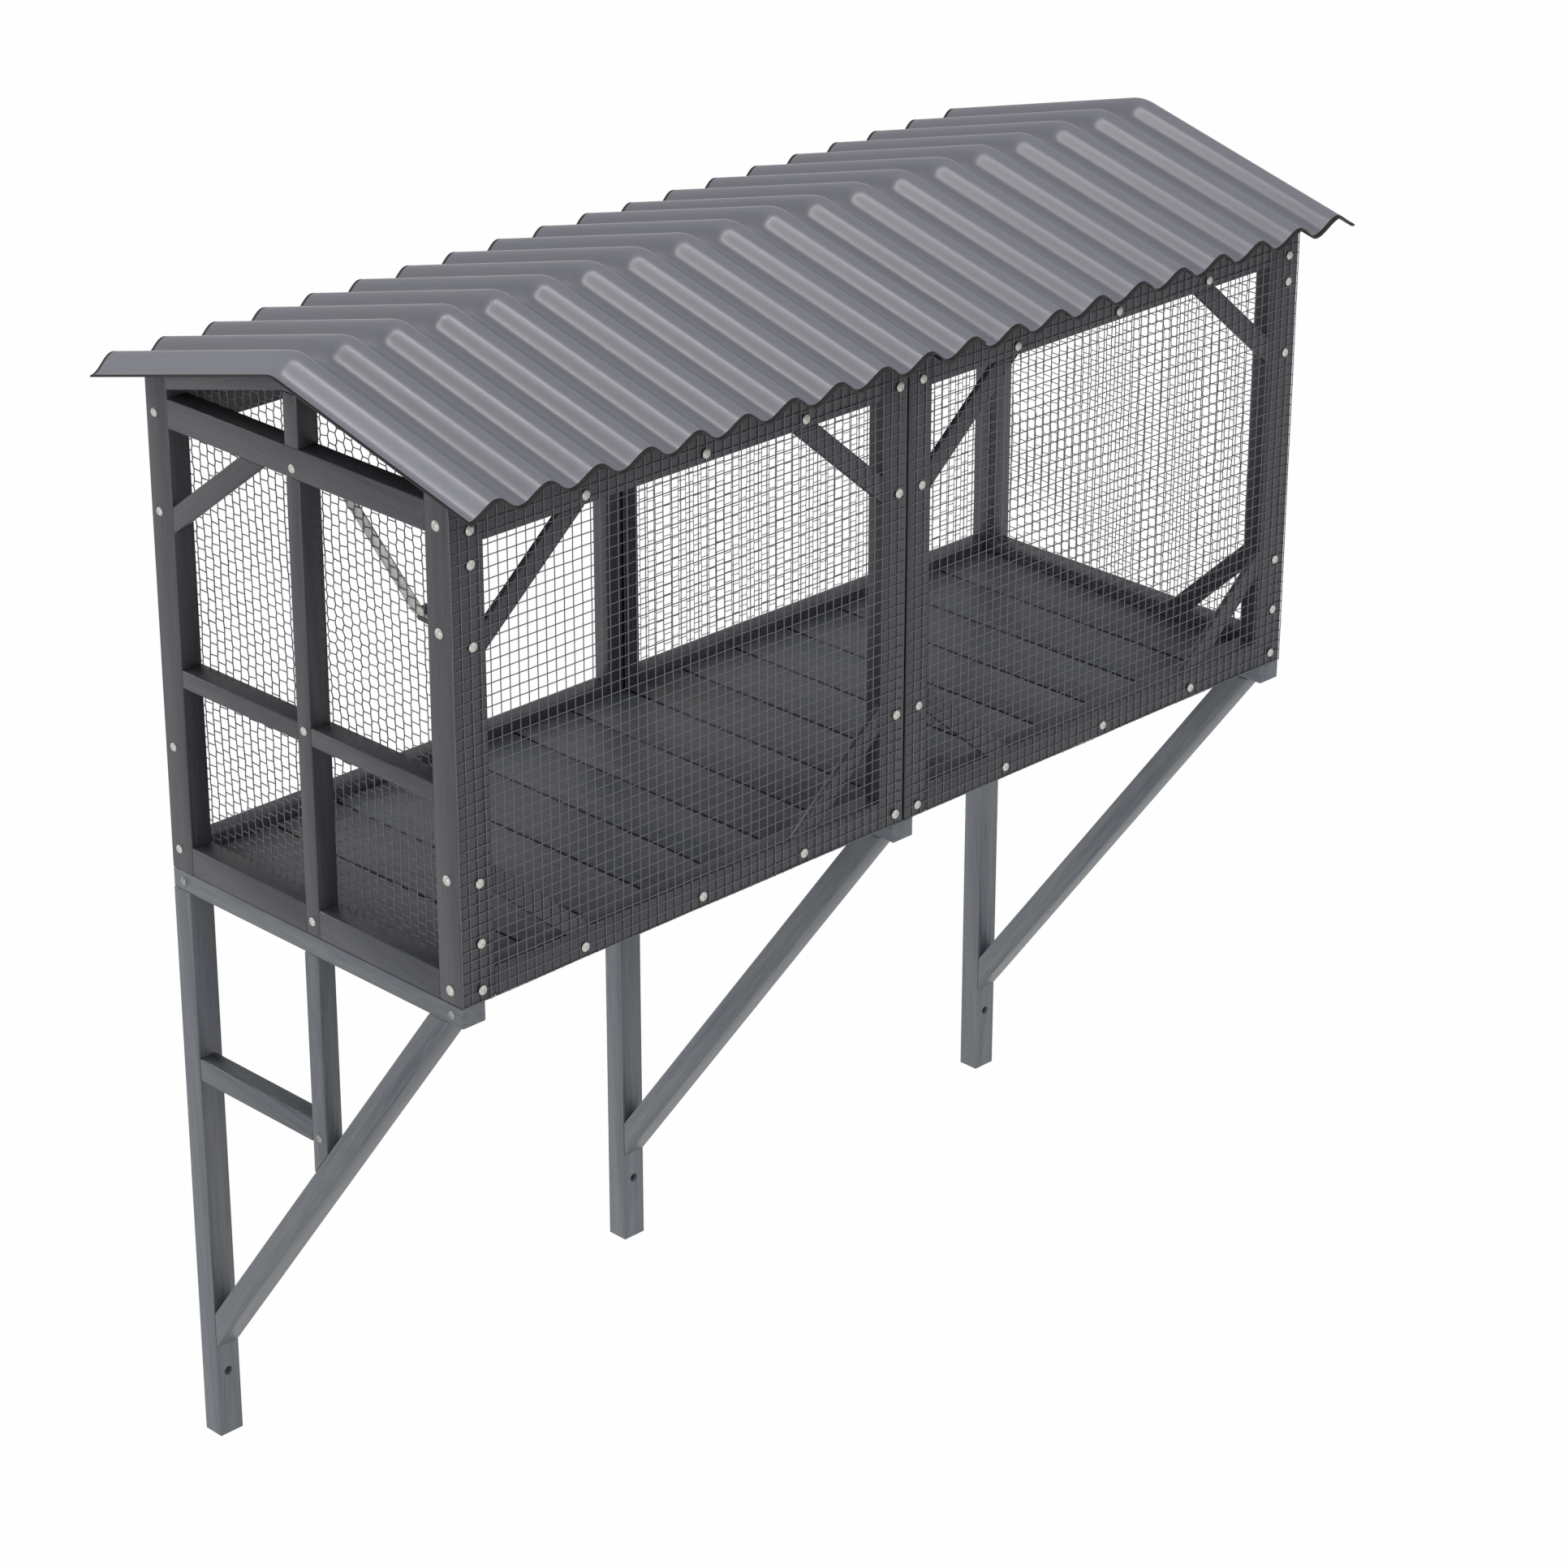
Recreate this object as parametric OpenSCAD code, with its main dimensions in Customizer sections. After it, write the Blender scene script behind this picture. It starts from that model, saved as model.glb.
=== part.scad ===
// Window box catio: two framed wire modules side by side on three wall
// brackets, under a corrugated gable roof.
// Frame: +X along the front, the front looks along -Y, the wall is the plane
// Y = 0 and Z = 0 is the height of the wall bolts. Millimetres.

/* [Cage] */
// Width of one module
module_w = 659; // [560:1:780]
// Gap between the two modules
module_gap = 2; // [1:0.5:4]
// Depth of the cage from front to wall
cage_d = 484; // [420:1:560]
// Height of the frames, without the roof
wall_h = 557; // [480:1:640]

/* [Frame timber] */
// Corner post across the front
corner_w = 46; // [40:1:60]
// Corner post from front to back
corner_d = 36; // [32:1:50]
// Post at the middle seam, across the front
seam_post_w = 36; // [28:1:48]
// Post at the middle seam, across the back
back_seam_w = 24; // [20:1:36]
// Thickness of the front and back frames
frame_t = 24; // [20:1:32]
// Height of the end frames' rails and of all bottom rails
rail_h = 34; // [28:1:44]
// Height of the top rails along the front and the back
top_rail_h = 46; // [36:1:56]
// Thickness of the end frames
end_t = 28; // [22:1:34]
// Width of the end frame's centre post
centre_post_w = 22; // [18:1:34]
// Height of the end frame's middle rail
mid_rail_h = 21; // [16:1:34]
// Height of the middle rail's centre above the frame's foot
mid_rail_up = 236; // [180:1:330]
// Width of the corner braces
brace_w = 24; // [16:1:32]
// Thickness of the corner braces
brace_t = 8; // [6:0.5:14]
// Run of a brace's edge along the rail
brace_run = 102; // [80:1:130]
// Run of a brace's edge along the post
brace_rise = 88; // [70:1:120]
// Run of the left end's brace along the rail
left_brace_run = 118; // [80:1:130]
// Run of the left end's brace along the post
left_brace_rise = 89; // [70:1:120]
// Run of the right end's brace along the rail
right_brace_run = 88; // [70:1:120]
// Run of the right end's brace along the post
right_brace_rise = 83; // [70:1:120]
// Width of the steel strap brace
strap_w = 16; // [10:1:22]
// Thickness of the steel strap brace
strap_t = 2; // [1.5:0.5:4]
// Distance of the strap's upper end from the corner post
strap_run = 170; // [140:1:180]
// Distance of the strap's lower end below the top rail
strap_drop = 113; // [90:1:130]
// Length of the block between the post and the strap's lower end
block_len = 54; // [46:1:70]
// Height of the block at its strap end
block_h = 14; // [10:1:24]
// Height of the block at the post
block_post_h = 24; // [16:1:36]

/* [Wire mesh] */
// Pitch of the wires
mesh_pitch = 62; // [56:1:80]
// Thickness of the wires
wire_t = 1.6; // [1.2:0.1:2.4]

/* [Floor] */
// Nominal width of one floor board
board_w = 88; // [70:1:120]
// Gap between floor boards
board_gap = 2; // [1:0.5:4]
// Thickness of the floor boards
board_t = 10; // [8:1:14]
// Width of the floor bearers
bearer_w = 30; // [20:1:50]
// Height of the floor bearers
bearer_h = 10; // [8:1:14]
// Clearance round the floor
floor_clear = 1; // [0.5:0.5:3]

/* [Roof] */
// Slope of the roof in degrees
roof_slope = 14.3; // [10:0.1:20]
// Overhang beyond the front and the wall side
eave_over = 62; // [40:1:90]
// Overhang beyond the ends
gable_over = 24; // [10:1:40]
// Depth of the rafters
rafter_h = 17.5; // [12:0.5:30]
// Width of the ridge beam
ridge_w = 22; // [20:1:34]
// Nominal pitch of the corrugations
wave_pitch = 68; // [56:1:90]
// Height of the corrugations
wave_h = 18; // [10:1:24]
// Thickness of the roof sheet
sheet_t = 2; // [1.2:0.1:3]
// Inner radius of the bend at the ridge
bend_r = 38; // [25:1:40]
// Gap between lapped sheets, and under the sheets
sheet_seat = 0.2; // [0.1:0.1:0.4]

/* [Wall brackets] */
// Width of the bracket timbers
bracket_w = 32; // [28:1:44]
// Height of the arm under the cage
arm_h = 24; // [20:1:40]
// Depth of the leg against the wall
leg_d = 28; // [24:1:50]
// Length of the leg below the arm
leg_len = 704; // [640:1:800]
// Width of the diagonal strut
strut_w = 28; // [20:1:36]
// Setback of the strut from the arm's front end
strut_back = 20; // [10:1:40]
// Height of the strut's toe above the leg's foot
strut_toe_up = 119; // [105:1:180]
// Diameter of the wall bolts
bolt_d = 10; // [6:1:12]
// Clearance of the bolts in the legs
bolt_clear = 1; // [0.5:0.5:2]
// Height of the bolt above the leg's foot
bolt_up = 83; // [50:1:95]
// Width of the drop post, across the bracket
drop_post_w = 24; // [18:1:28]
// Depth of the drop post, front to back
drop_post_d = 23; // [18:1:34]
// Distance from the wall to the drop post's back
drop_post_off = 225; // [180:1:260]
// Height of the cross bar
cross_bar_h = 28; // [20:1:36]
// Drop of the cross bar's top below the arm
cross_bar_drop = 206; // [150:1:230]

/* [Hidden] */
$fn = 48;

frame_col = "#505256";
bracket_col = "#65686d";
mesh_col = "#3c3e41";
roof_col = "#7c7d85";
strap_col = "#8f8f8b";

half_l = module_w + module_gap / 2;
front_y = -cage_d;
ridge_y = -cage_d / 2;
// The bolts are at Z = 0, so the leg's foot is below and the cage above.
foot_z = -bolt_up;
arm_z = foot_z + leg_len;
cage_z = arm_z + arm_h;
top_z = cage_z + wall_h;
// End timbers lie between the corner posts.
post_in = front_y + corner_d;
end_len = cage_d - 2 * corner_d;
mesh_x = half_l - end_t;
// Inner faces of the front and back frames.
front_in = front_y + frame_t;
back_in = -frame_t;
bay_w = module_w - corner_w - seam_post_w;
bay_h = wall_h - rail_h - top_rail_h;
back_bay_w = module_w - end_t - back_seam_w;
// The roof's lower plane starts on the front frame and climbs to the ridge.
slope_tan = tan(roof_slope);
rafter_dz = rafter_h / cos(roof_slope);
roof_z = top_z + rafter_dz;
ridge_z = roof_z + slope_tan * cage_d / 2;
roof_len = 2 * (half_l + gable_over);
wave_n = 2 * round(roof_len / wave_pitch / 2);
wave_p = roof_len / wave_n;
wave_steps = 12;
bend_steps = 4;
lap = 1;
bolt_hole_d = bolt_d + bolt_clear;

// Height of the roof's lower plane at y.
function roof_at(y) = ridge_z - slope_tan * abs(y - ridge_y);
// Height of the rafters' lower edge at y.
function rafter_at(y) = roof_at(y) - rafter_dz;
// The ridge beam hangs as low as the rafters' inner ends.
ridge_under = rafter_at(ridge_y - ridge_w / 2);

// A profile in Y and Z, drawn out along X.
module along_x(x, len) {
    translate([x, 0, 0]) rotate([90, 0, 90]) linear_extrude(len) children();
}

// ---- Wall brackets ----

module bracket_arm(x) {
    color(bracket_col)
        translate([x, front_y, arm_z]) cube([bracket_w, cage_d, arm_h]);
}

module bracket_leg(x) {
    color(bracket_col) difference() {
        translate([x, -leg_d, foot_z]) cube([bracket_w, leg_d, leg_len]);
        translate([x + bracket_w / 2, 1, 0]) rotate([90, 0, 0])
            cylinder(h = leg_d + 2, d = bolt_hole_d);
    }
}

// The strut leans from the arm's underside to the leg's front face.
strut_y0 = front_y + strut_back;
strut_y1 = -leg_d;
strut_z1 = foot_z + strut_toe_up;
strut_a = atan2(arm_z - strut_z1, strut_y1 - strut_y0);

// Height of the strut's upper edge at y.
function strut_top(y) = arm_z - (y - strut_y0) * tan(strut_a) + strut_w / cos(strut_a);

module bracket_strut(x) {
    color(bracket_col) along_x(x, bracket_w) polygon([
        [strut_y0, arm_z], [strut_y1, strut_z1], [strut_y1, strut_top(strut_y1)],
        [strut_y0 + strut_w / sin(strut_a), arm_z]
    ]);
}

bracket_left_x = -half_l;
bracket_mid_x = -bracket_w / 2;
bracket_right_x = half_l - bracket_w;
drop_y1 = -drop_post_off;
drop_y0 = drop_y1 - drop_post_d;

// The drop post's foot is cut to the strut's upper edge.
module bracket_drop_post() {
    color(bracket_col) along_x(bracket_left_x, drop_post_w) polygon([
        [drop_y0, strut_top(drop_y0)], [drop_y1, strut_top(drop_y1)],
        [drop_y1, arm_z], [drop_y0, arm_z]
    ]);
}

module bracket_cross_bar() {
    color(bracket_col)
        translate([bracket_left_x, drop_y1, arm_z - cross_bar_drop - cross_bar_h])
            cube([drop_post_w, drop_post_off - leg_d, cross_bar_h]);
}

// ---- Floor ----

bearer_x = half_l - corner_w;

module floor_bearer(y) {
    color(frame_col)
        translate([-bearer_x, y, cage_z]) cube([2 * bearer_x, bearer_w, bearer_h]);
}

floor_x = mesh_x - wire_t - floor_clear;
floor_half = floor_x - module_gap / 2;
board_n = max(2, round(floor_half / board_w));
board_step = floor_half / board_n;
floor_y0 = front_in + floor_clear;
floor_y1 = back_in - wire_t - floor_clear;

// The boards run from front to back.
module floor_boards() {
    color(frame_col) for (i = [0 : board_n - 1])
        translate([module_gap / 2 + i * board_step, floor_y0, cage_z + bearer_h])
            cube([board_step - board_gap, floor_y1 - floor_y0, board_t]);
}

// ---- Posts ----

// The corner posts run up to the roof and their tops are cut to its slope.
module post_profile(y, w) {
    along_x(-half_l, w) polygon([
        [y, cage_z], [y + corner_d, cage_z],
        [y + corner_d, roof_at(y + corner_d)], [y, roof_at(y)]
    ]);
}

// A front corner post has the front frame's width, and behind that frame the
// end frame's thickness.
module corner_post_front() {
    color(frame_col) intersection() {
        post_profile(front_y, corner_w);
        translate([0, 0, cage_z]) linear_extrude(ridge_z - cage_z) polygon([
            [-half_l, front_y], [bay_left_x, front_y], [bay_left_x, front_in],
            [-mesh_x, front_in], [-mesh_x, post_in], [-half_l, post_in]
        ]);
    }
}

module corner_post_back() {
    color(frame_col) post_profile(-corner_d, end_t);
}

module seam_post(x, y, w) {
    color(frame_col) translate([x, y, cage_z]) cube([w, frame_t, wall_h]);
}

bay_left_x = -half_l + corner_w;
bay_right_x = module_gap / 2 + seam_post_w;
back_right_x = module_gap / 2 + back_seam_w;

// ---- Front and back frames ----

module front_rail(x, z, h) {
    color(frame_col) translate([x, front_y, z]) cube([bay_w, frame_t, h]);
}

module back_rail(x, z, h) {
    color(frame_col) translate([x, back_in, z]) cube([back_bay_w, frame_t, h]);
}

bottom_z = cage_z;
upper_z = top_z - top_rail_h;
end_upper_z = top_z - rail_h;

// One corner brace, drawn from the inner corner at the origin, in X and Y.
module brace_outline(run, rise) {
    a = atan2(rise, run);
    polygon([
        [0, rise], [run, 0],
        [run + brace_w / sin(a), 0], [0, rise + brace_w / cos(a)]
    ]);
}

// The front braces are thin boards, flush with the front frame's outside.
module brace_set(x) {
    color(frame_col) for (cx = [0, 1], cz = [0, 1])
        translate([x + cx * bay_w, front_y + brace_t, cage_z + rail_h + cz * bay_h])
            mirror([cx, 0, 0]) mirror([0, 0, cz])
                rotate([90, 0, 0]) linear_extrude(brace_t)
                    brace_outline(brace_run, brace_rise);
}

// ---- Wire mesh ----

// A sheet of square mesh, w by h, whose edge wires lie on its outline.
module wire_sheet(w, h) {
    nx = max(2, round(w / mesh_pitch));
    ny = max(2, round(h / mesh_pitch));
    px = (w - wire_t) / nx;
    py = (h - wire_t) / ny;
    difference() {
        square([w, h]);
        for (i = [0 : nx - 1], j = [0 : ny - 1])
            translate([i * px + wire_t, j * py + wire_t])
                square([px - wire_t, py - wire_t]);
    }
}

// The front mesh covers the whole of its module's frame.
module front_mesh(x) {
    color(mesh_col) translate([x, front_y, cage_z])
        rotate([90, 0, 0]) linear_extrude(wire_t) wire_sheet(module_w, wall_h);
}

module back_mesh_right() {
    color(mesh_col) translate([module_gap / 2, back_in, cage_z])
        rotate([90, 0, 0]) linear_extrude(wire_t)
            wire_sheet(module_w - end_t, wall_h);
}

// The end meshes reach from the front frame to the back mesh.
end_mesh_y0 = front_in;
end_mesh_y1 = back_in - wire_t;

// The end panel's inner outline, drawn in, up to the middle of the rafters
// and round the ridge beam.
module end_outline(in) {
    in_z = in / cos(roof_slope) + rafter_dz / 2;
    y0 = end_mesh_y0 + in;
    y1 = end_mesh_y1 - in;
    r0 = ridge_y - ridge_w / 2 - in;
    r1 = ridge_y + ridge_w / 2 + in;
    polygon([
        [y0, cage_z + in], [y1, cage_z + in], [y1, roof_at(y1) - in_z],
        [r1, roof_at(r1) - in_z], [r1, ridge_under - in],
        [r0, ridge_under - in], [r0, roof_at(r0) - in_z],
        [y0, roof_at(y0) - in_z]
    ]);
}

// The end mesh covers the frame and the gable, and lies on the inner side.
module end_mesh(x) {
    color(mesh_col) along_x(x, wire_t) {
        intersection() {
            translate([end_mesh_y0, cage_z])
                wire_sheet(end_mesh_y1 - end_mesh_y0, ridge_z - cage_z);
            end_outline(0);
        }
        difference() {
            end_outline(0);
            end_outline(wire_t);
        }
    }
}

// ---- End frames ----

module end_rail(x, z, h) {
    color(frame_col) translate([x, post_in, z]) cube([end_t, end_len, h]);
}

// A rail that stops at the centre post on either side.
module halved_rail(x, z, h) {
    color(frame_col) for (y = [post_in, ridge_y + centre_post_w / 2])
        translate([x, y, z]) cube([end_t, (end_len - centre_post_w) / 2, h]);
}

left_x = -half_l;
right_x = half_l - end_t;

module left_end_centre_post() {
    color(frame_col)
        translate([left_x, ridge_y - centre_post_w / 2, cage_z])
            cube([end_t, centre_post_w, wall_h - rail_h]);
}

module king_post(x) {
    color(frame_col)
        translate([x, ridge_y - centre_post_w / 2, top_z])
            cube([end_t, centre_post_w, ridge_under - top_z]);
}

// The left end's brace is at the top, on the wall side, flush with the outside.
module left_end_brace() {
    color(frame_col) along_x(left_x, brace_t)
        translate([-corner_d, end_upper_z]) rotate(180)
            brace_outline(left_brace_run, left_brace_rise);
}

// The right end's brace is at the bottom, on the front side, by the mesh.
module right_end_brace() {
    color(frame_col) along_x(right_x, brace_t)
        translate([post_in, cage_z + rail_h])
            brace_outline(right_brace_run, right_brace_rise);
}

// The strap lies on the mesh's inner side, from the top rail down to the face
// of a block that stands off the front frame.
strap_x = -mesh_x + wire_t;
block_x = strap_x + strap_t;
strap_foot_y = post_in + block_len - strap_w / 2;
strap_foot_z = end_upper_z - strap_drop;

module left_end_strap() {
    head_y = post_in + strap_run;
    a = atan2(strap_drop, head_y - strap_foot_y);
    up = rail_h / 2;
    side_y = strap_w / 2 / sin(a);
    head_up_y = head_y + up / tan(a);
    color(strap_col) along_x(strap_x, strap_t) polygon([
        [strap_foot_y - side_y, strap_foot_z], [strap_foot_y + side_y, strap_foot_z],
        [head_up_y + side_y, end_upper_z + up], [head_up_y - side_y, end_upper_z + up]
    ]);
}

module left_end_strap_block() {
    block_y = post_in + block_len;
    color(frame_col) along_x(block_x, bay_left_x - block_x) polygon([
        [front_in, strap_foot_z - block_post_h / 2], [block_y, strap_foot_z - block_h / 2],
        [block_y, strap_foot_z + block_h / 2], [front_in, strap_foot_z + block_post_h / 2]
    ]);
}

// ---- Roof timber ----

// A batten on the top rails, x on either side of the middle.
module eave_batten(x, y) {
    color(frame_col) along_x(-x, 2 * x) polygon([
        [y, top_z], [y + frame_t, top_z],
        [y + frame_t, roof_at(y + frame_t)], [y, roof_at(y)]
    ]);
}

module ridge_beam() {
    y = ridge_w / 2;
    color(frame_col)
        translate([-half_l, ridge_y - y, ridge_under])
            cube([2 * half_l, ridge_w, roof_at(ridge_y - y) - ridge_under]);
}

// A pair of rafters, each from y0 or its mirror to the ridge beam.
module rafter_pair(x, y0) {
    y1 = ridge_y - ridge_w / 2;
    color(frame_col) for (m = [0, 1])
        translate([0, m * 2 * ridge_y, 0]) mirror([0, m, 0])
            along_x(x, end_t) polygon([
                [y0, rafter_at(y0)], [y1, rafter_at(y1)],
                [y1, roof_at(y1)], [y0, roof_at(y0)]
            ]);
}

// ---- Roof sheets ----

// Height of the corrugation's lower face at wave position u, from the valley.
function wave(u) = wave_h * (1 - cos(360 * u)) / 2;

// The bend turns about an axis below the ridge, in bend_steps flats.
bend_drop = bend_r / cos(roof_slope);
slope_len = (cage_d / 2 + eave_over) / cos(roof_slope) - bend_r * slope_tan;
last_station = bend_steps + 2;

// Station k of the sheet's path in Y and Z, at distance r from the bend's axis.
// The first is the front eave, the last the back eave, the rest are the bend.
function station(k, r) =
    let (
        side = k == 0 ? 1 : k == last_station ? -1 : 0,
        t = side == 0 ? roof_slope * (1 - 2 * (k - 1) / bend_steps) : side * roof_slope
    )
    [-r * sin(t) - side * slope_len * cos(t), r * cos(t) - side * slope_len * sin(t)];

// A sheet from wave a to wave b, bent over the ridge: a lower and an upper skin
// of m points at each station, closed at the eaves and the sides.
module roof_sheet(a, b, lift) {
    n = round((b - a) * wave_steps);
    m = n + 1;
    top = (last_station + 1) * m;
    skins = [for (s = [0, 1], k = [0 : last_station], i = [0 : n])
        let (
            u = a + (b - a) * i / n,
            p = station(k, bend_r + lift + wave(u) + s * sheet_t)
        )
        [u * wave_p, p[0], p[1]]
    ];
    faces = [
        for (k = [0 : last_station - 1], q = [k * m : k * m + n - 1]) each [
            [q, q + 1, q + m + 1, q + m],
            [top + q, top + q + m, top + q + m + 1, top + q + 1]
        ],
        for (i = [0 : n - 1]) each [
            [i, top + i, top + i + 1, i + 1],
            [top - m + i, top - m + i + 1, 2 * top - m + i + 1, 2 * top - m + i]
        ],
        for (k = [0 : last_station - 1], q = k * m) each [
            [q, q + m, top + q + m, top + q],
            [q + n, top + q + n, top + q + m + n, q + m + n]
        ]
    ];
    color(roof_col) translate([-roof_len / 2, ridge_y, ridge_z - bend_drop])
        polyhedron(skins, faces);
}

left_end_wave = wave_n / 2 + 0.75;

// ---- Nodes ----

bracket_arm(bracket_left_x);  // bracket_arm_left
bracket_arm(bracket_mid_x);  // bracket_arm_middle
bracket_arm(bracket_right_x);  // bracket_arm_right
bracket_leg(bracket_left_x);  // bracket_leg_left
bracket_leg(bracket_mid_x);  // bracket_leg_middle
bracket_leg(bracket_right_x);  // bracket_leg_right
bracket_strut(bracket_left_x);  // bracket_strut_left
bracket_strut(bracket_mid_x);  // bracket_strut_middle
bracket_strut(bracket_right_x);  // bracket_strut_right
bracket_drop_post();
bracket_cross_bar();
floor_bearer(front_in);  // floor_bearer_front
floor_bearer(ridge_y - bearer_w / 2);  // floor_bearer_middle
floor_bearer(back_in - wire_t - bearer_w);  // floor_bearer_back
mirror([1, 0, 0]) floor_boards();  // floor_boards_left
floor_boards();  // floor_boards_right
corner_post_front();  // corner_post_front_left
mirror([1, 0, 0]) corner_post_front();  // corner_post_front_right
corner_post_back();  // corner_post_back_left
mirror([1, 0, 0]) corner_post_back();  // corner_post_back_right
seam_post(-bay_right_x, front_y, seam_post_w);  // seam_post_front_left
seam_post(module_gap / 2, front_y, seam_post_w);  // seam_post_front_right
seam_post(-back_right_x, back_in, back_seam_w);  // seam_post_back_left
seam_post(module_gap / 2, back_in, back_seam_w);  // seam_post_back_right
front_rail(bay_left_x, upper_z, top_rail_h);  // front_top_rail_left
front_rail(bay_right_x, upper_z, top_rail_h);  // front_top_rail_right
front_rail(bay_left_x, bottom_z, rail_h);  // front_bottom_rail_left
front_rail(bay_right_x, bottom_z, rail_h);  // front_bottom_rail_right
brace_set(bay_left_x);  // front_braces_left
brace_set(bay_right_x);  // front_braces_right
front_mesh(-half_l);  // front_mesh_left
front_mesh(module_gap / 2);  // front_mesh_right
back_rail(-mesh_x, upper_z, top_rail_h);  // back_top_rail_left
back_rail(back_right_x, upper_z, top_rail_h);  // back_top_rail_right
back_rail(-mesh_x, bottom_z, rail_h);  // back_bottom_rail_left
back_rail(back_right_x, bottom_z, rail_h);  // back_bottom_rail_right
back_mesh_right();
end_rail(left_x, end_upper_z, rail_h);  // left_end_top_rail
halved_rail(left_x, cage_z + mid_rail_up - mid_rail_h / 2, mid_rail_h);  // left_end_mid_rail
halved_rail(left_x, bottom_z, rail_h);  // left_end_bottom_rail
left_end_centre_post();
king_post(left_x);  // left_end_king_post
left_end_brace();
left_end_strap();
left_end_strap_block();
end_mesh(-mesh_x);  // left_end_mesh
end_rail(right_x, end_upper_z, rail_h);  // right_end_top_rail
end_rail(right_x, bottom_z, rail_h);  // right_end_bottom_rail
king_post(right_x);  // right_end_king_post
right_end_brace();
end_mesh(mesh_x - wire_t);  // right_end_mesh
eave_batten(-bay_left_x, front_y);  // eave_batten_front
eave_batten(mesh_x, back_in);  // eave_batten_back
ridge_beam();
rafter_pair(left_x, post_in);  // rafters_left
rafter_pair(-end_t / 2, front_in);  // rafters_middle
rafter_pair(right_x, post_in);  // rafters_right
roof_sheet(0, left_end_wave, 2 * sheet_seat + sheet_t);  // roof_sheet_left
roof_sheet(left_end_wave - lap, wave_n, sheet_seat);  // roof_sheet_right
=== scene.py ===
"""Looks for the window box catio: painted timber, wire cloth, a corrugated
roof, screws, a studio floor, lights and the camera. Metres, +Z up."""

import math
import random

import bmesh
import bpy
from mathutils import Matrix, Vector, noise


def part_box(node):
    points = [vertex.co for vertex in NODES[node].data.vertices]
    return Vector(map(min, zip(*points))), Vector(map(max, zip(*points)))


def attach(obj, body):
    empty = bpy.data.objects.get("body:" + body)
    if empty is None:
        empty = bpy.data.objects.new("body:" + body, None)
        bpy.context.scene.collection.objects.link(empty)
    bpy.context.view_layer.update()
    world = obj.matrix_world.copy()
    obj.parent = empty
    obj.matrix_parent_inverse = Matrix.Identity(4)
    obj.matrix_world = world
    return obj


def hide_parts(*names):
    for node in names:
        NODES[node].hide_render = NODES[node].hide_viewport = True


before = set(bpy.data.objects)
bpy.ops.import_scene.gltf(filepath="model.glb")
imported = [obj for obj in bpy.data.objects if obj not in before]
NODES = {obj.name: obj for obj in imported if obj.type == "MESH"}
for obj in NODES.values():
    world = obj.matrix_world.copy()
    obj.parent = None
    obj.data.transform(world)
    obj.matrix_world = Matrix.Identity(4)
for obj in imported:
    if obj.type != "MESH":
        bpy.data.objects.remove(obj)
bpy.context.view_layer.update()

# Sizes of the cage, as in the solids.
HALF_LENGTH = 0.660
FRONT_Y = -0.484
CAGE_Z = 0.645
TOP_Z = 1.202
FLOOR_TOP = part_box("floor_boards_left")[1][2]
NET_T = 0.0016

# Sizes of the roof, as in the solids.
SLOPE = math.radians(14.3)
RAFTER_H = 0.0175
RIDGE_W = 0.022
ROOF_HALF = 0.684
EAVE = 0.062
WAVES = 20
WAVE_H = 0.018
LAP = 1
SHEET_T = 0.002
SEAT = 0.0002
BEND_R = 0.038

# The rafters rest on the cage's top and meet at the ridge.
RIDGE_Y = FRONT_Y / 2
RIDGE_RISE = math.tan(SLOPE) * -RIDGE_Y
RAFTER_DZ = RAFTER_H / math.cos(SLOPE)
RIDGE_Z = TOP_Z + RAFTER_DZ + RIDGE_RISE
RIDGE_UNDER = TOP_Z + math.tan(SLOPE) * (-RIDGE_Y - RIDGE_W / 2)

# Points that are closer than this are one, and lengths that differ by less are
# equal.
MERGE = 1e-5


# ---- Finishes ----

def linear(red, green, blue):
    """A colour as it is seen, 0 to 255, in the linear form that shaders use."""
    def one(value):
        value /= 255
        return value / 12.92 if value <= 0.04045 else ((value + 0.055) / 1.055) ** 2.4
    return one(red), one(green), one(blue)


class Tone:
    """One value of a finish, which takes part in sums."""

    def __init__(self, finish, socket):
        self.finish, self.socket = finish, socket

    def sum(self, operation, first, second):
        return self.finish.add("Math", {"operation": operation}, {0: first, 1: second})

    def __add__(self, other):
        return self.sum("ADD", self, other)

    def __sub__(self, other):
        return self.sum("SUBTRACT", self, other)

    def __rsub__(self, other):
        return self.sum("SUBTRACT", other, self)

    def __mul__(self, other):
        return self.sum("MULTIPLY", self, other)

    __radd__ = __add__
    __rmul__ = __mul__

    def __abs__(self):
        return self.finish.add("Math", {"operation": "ABSOLUTE"}, {0: self})

    def swing(self, amount):
        """How far a noise is from its middle, one half, times an amount."""
        return (self - 0.5) * amount


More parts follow.
